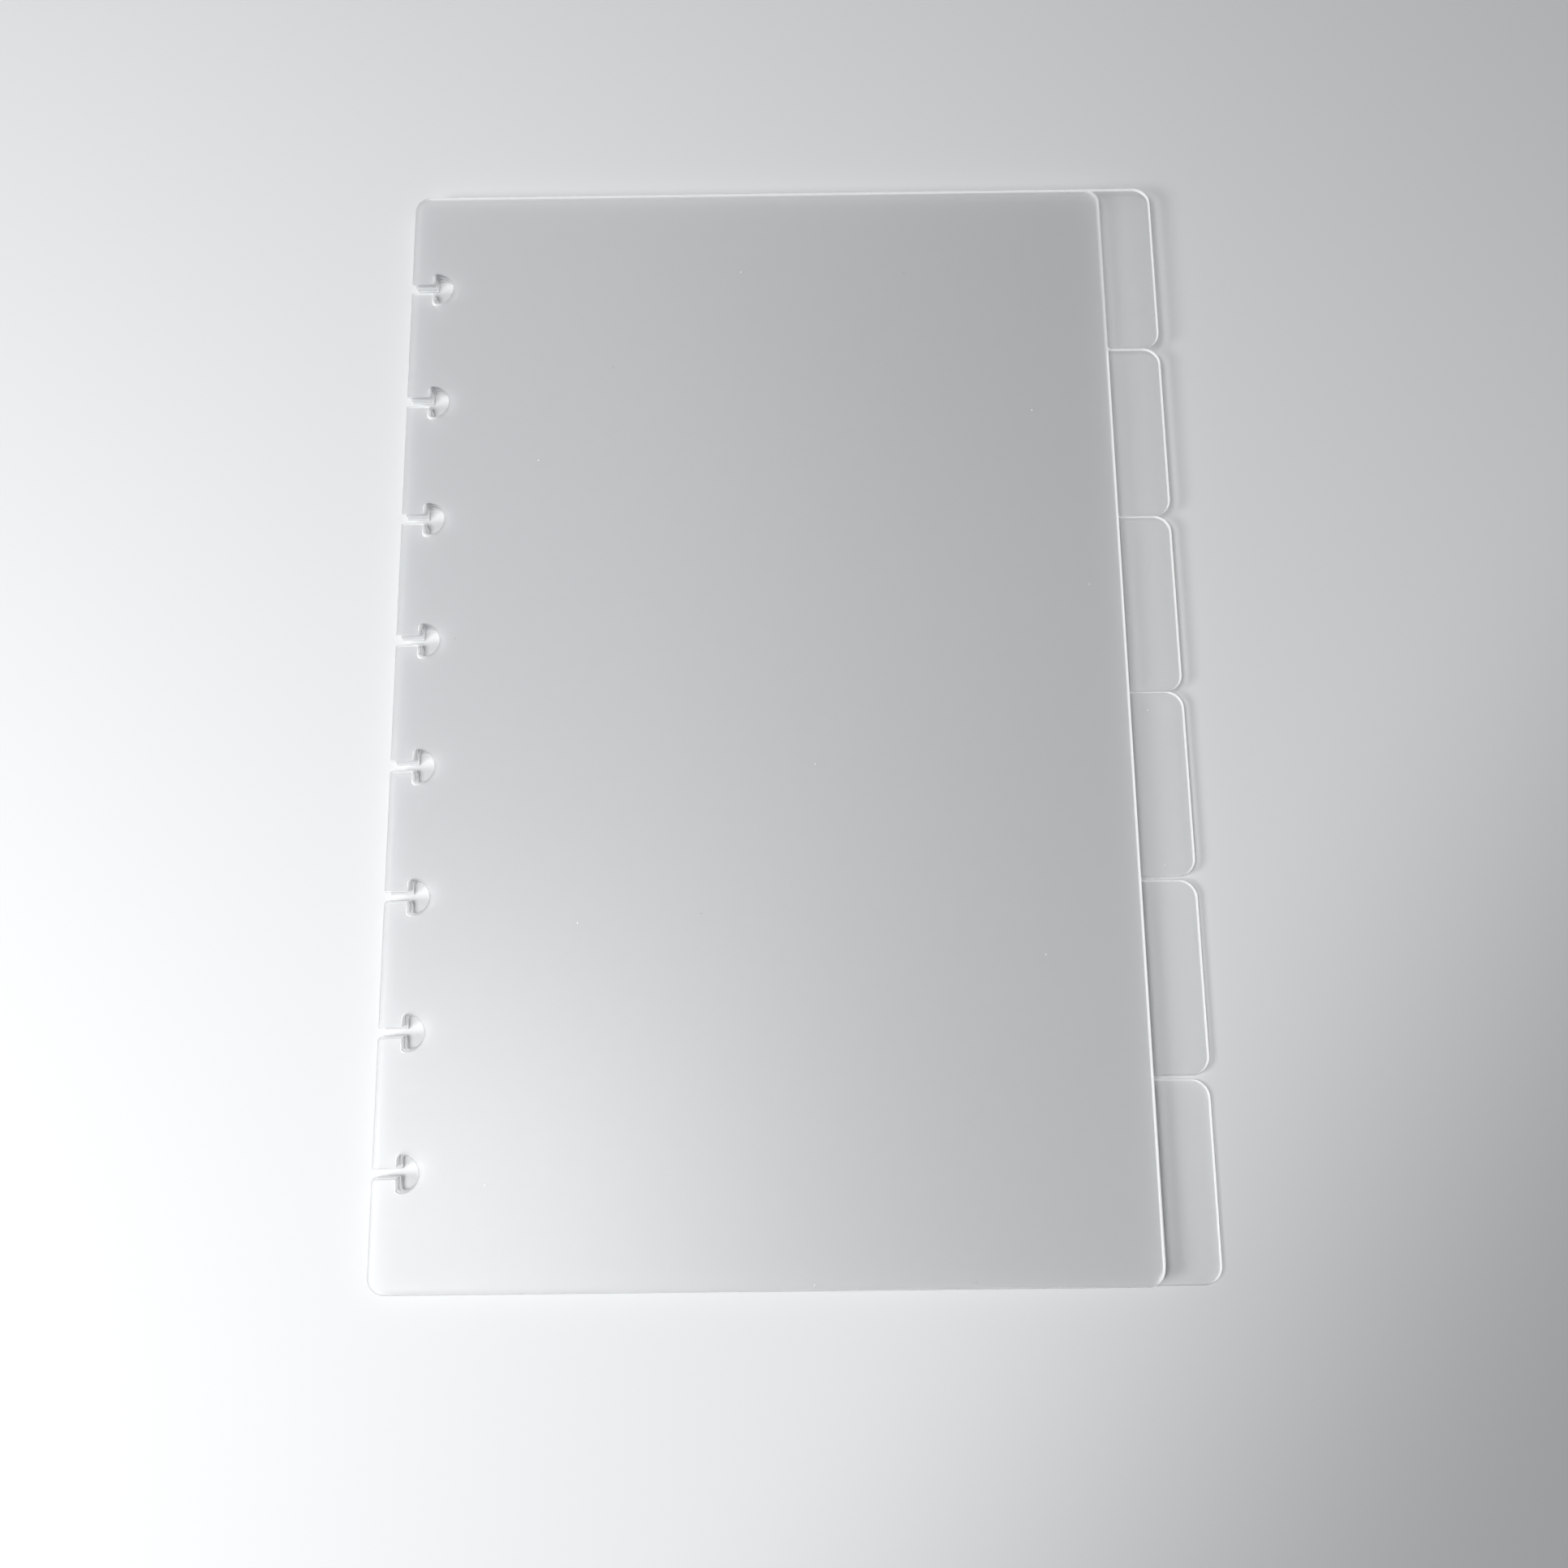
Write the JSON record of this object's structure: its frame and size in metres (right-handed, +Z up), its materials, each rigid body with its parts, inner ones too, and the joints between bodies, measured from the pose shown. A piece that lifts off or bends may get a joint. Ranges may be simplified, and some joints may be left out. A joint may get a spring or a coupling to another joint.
{
  "type": "planner divider set",
  "caption": "Stack of translucent plastic planner dividers with mushroom slots for binding discs along one edge and rounded index tabs stepping down the other.",
  "frame": {"origin": "middle of the stack's footprint, tabs included, on the surface that it rests on", "axes": "+X from the slotted edge to the tabs, +Y to the top of the page, +Z up out of the stack"},
  "size_m": [0.1542, 0.221, 0.0035],
  "materials": {
    "clear_plastic": "frosted translucent polypropylene with clean die-cut edges"
  },
  "bodies": {
    "divider_1": {"divider_1": "clear_plastic"},
    "divider_2": {"divider_2": "clear_plastic"},
    "divider_3": {"divider_3": "clear_plastic"},
    "divider_4": {"divider_4": "clear_plastic"},
    "divider_5": {"divider_5": "clear_plastic"},
    "divider_6": {"divider_6": "clear_plastic"}
  },
  "joints": [
    {"name": "page_turn_1", "type": "hinge", "parent": "divider_2", "child": "divider_1", "pos_m": [-0.08335, 0, 0.00175], "axis": [0, -1, 0], "range_deg": [0, 180]},
    {"name": "page_turn_2", "type": "hinge", "parent": "divider_3", "child": "divider_2", "pos_m": [-0.08335, 0, 0.00175], "axis": [0, -1, 0], "range_deg": [0, 180]},
    {"name": "page_turn_3", "type": "hinge", "parent": "divider_4", "child": "divider_3", "pos_m": [-0.08335, 0, 0.00175], "axis": [0, -1, 0], "range_deg": [0, 180]},
    {"name": "page_turn_4", "type": "hinge", "parent": "divider_5", "child": "divider_4", "pos_m": [-0.08335, 0, 0.00175], "axis": [0, -1, 0], "range_deg": [0, 180]},
    {"name": "page_turn_5", "type": "hinge", "parent": "divider_6", "child": "divider_5", "pos_m": [-0.08335, 0, 0.00175], "axis": [0, -1, 0], "range_deg": [0, 180]}
  ]
}
